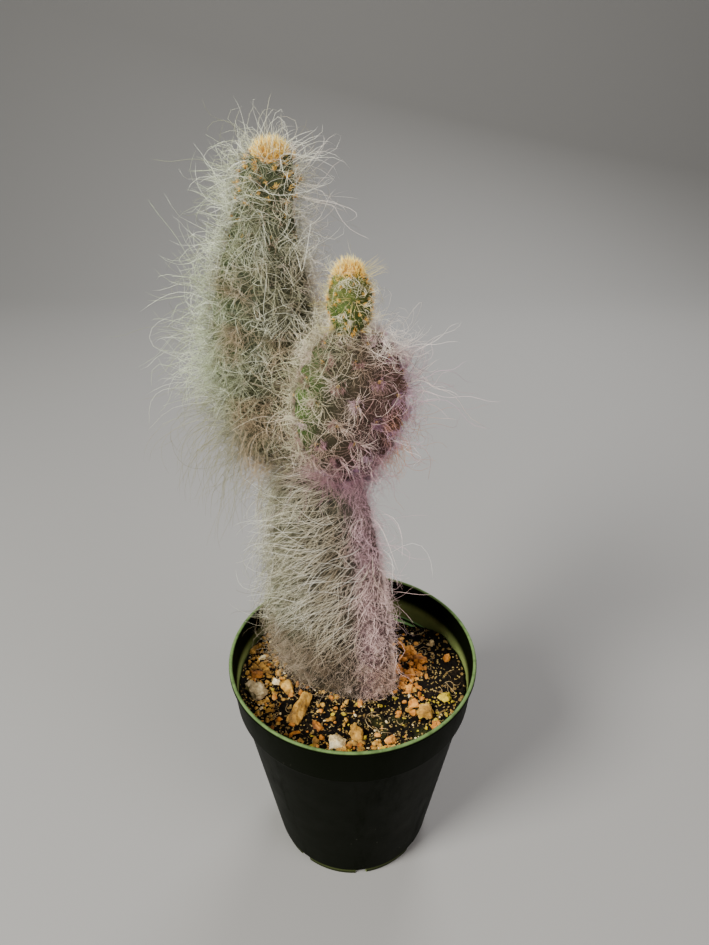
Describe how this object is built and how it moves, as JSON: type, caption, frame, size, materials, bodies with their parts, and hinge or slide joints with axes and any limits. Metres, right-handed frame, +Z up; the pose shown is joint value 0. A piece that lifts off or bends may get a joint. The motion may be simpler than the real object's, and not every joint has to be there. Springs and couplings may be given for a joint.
{
  "type": "potted cactus",
  "caption": "Hairy opuntia with long white spines and golden growing tips in a round green plastic nursery pot of gritty soil.",
  "frame": {"origin": "middle of the pot's underside, on the surface it stands on", "axes": "+Z up along the pot's axis; the picture looks along +Y, with +X to its right"},
  "size_m": [0.1357, 0.11, 0.3308],
  "materials": {
    "pot_plastic": "satin moulded plastic",
    "potting_mix": "loose damp peat and grit",
    "hairy_skin": "green skin under fine white hairs",
    "golden_bristle": "dry golden bristles",
    "ochre": "rough pumice and bark",
    "amber": "rough pumice and bark",
    "grey_stone": "rough",
    "yellow_stone": "rough",
    "perlite": "porous, powdery"
  },
  "bodies": {
    "root": {"pot": "pot_plastic", "soil": "potting_mix", "pad_lower": "hairy_skin", "pad_left": "hairy_skin", "pad_right": "hairy_skin", "shoot": "hairy_skin", "crown_left": "golden_bristle", "crown_right": "golden_bristle", "bark_chip_long": "ochre", "stone_grey_lump": "grey_stone", "stone_orange_left": "amber", "perlite_left_front": "perlite", "perlite_left_back": "perlite", "pumice_tan_clump": "ochre", "pumice_cream_front": "perlite", "stone_tan_front": "ochre", "bark_chip_small": "amber", "stone_tan_right": "ochre", "stone_yellow_right": "yellow_stone", "stone_amber_right": "amber", "stone_orange_back": "amber", "stone_orange_mid": "amber", "stone_orange_near": "amber", "stone_orange_low": "amber", "perlite_right_back": "perlite", "stone_amber_front": "amber"}
  },
  "joints": []
}
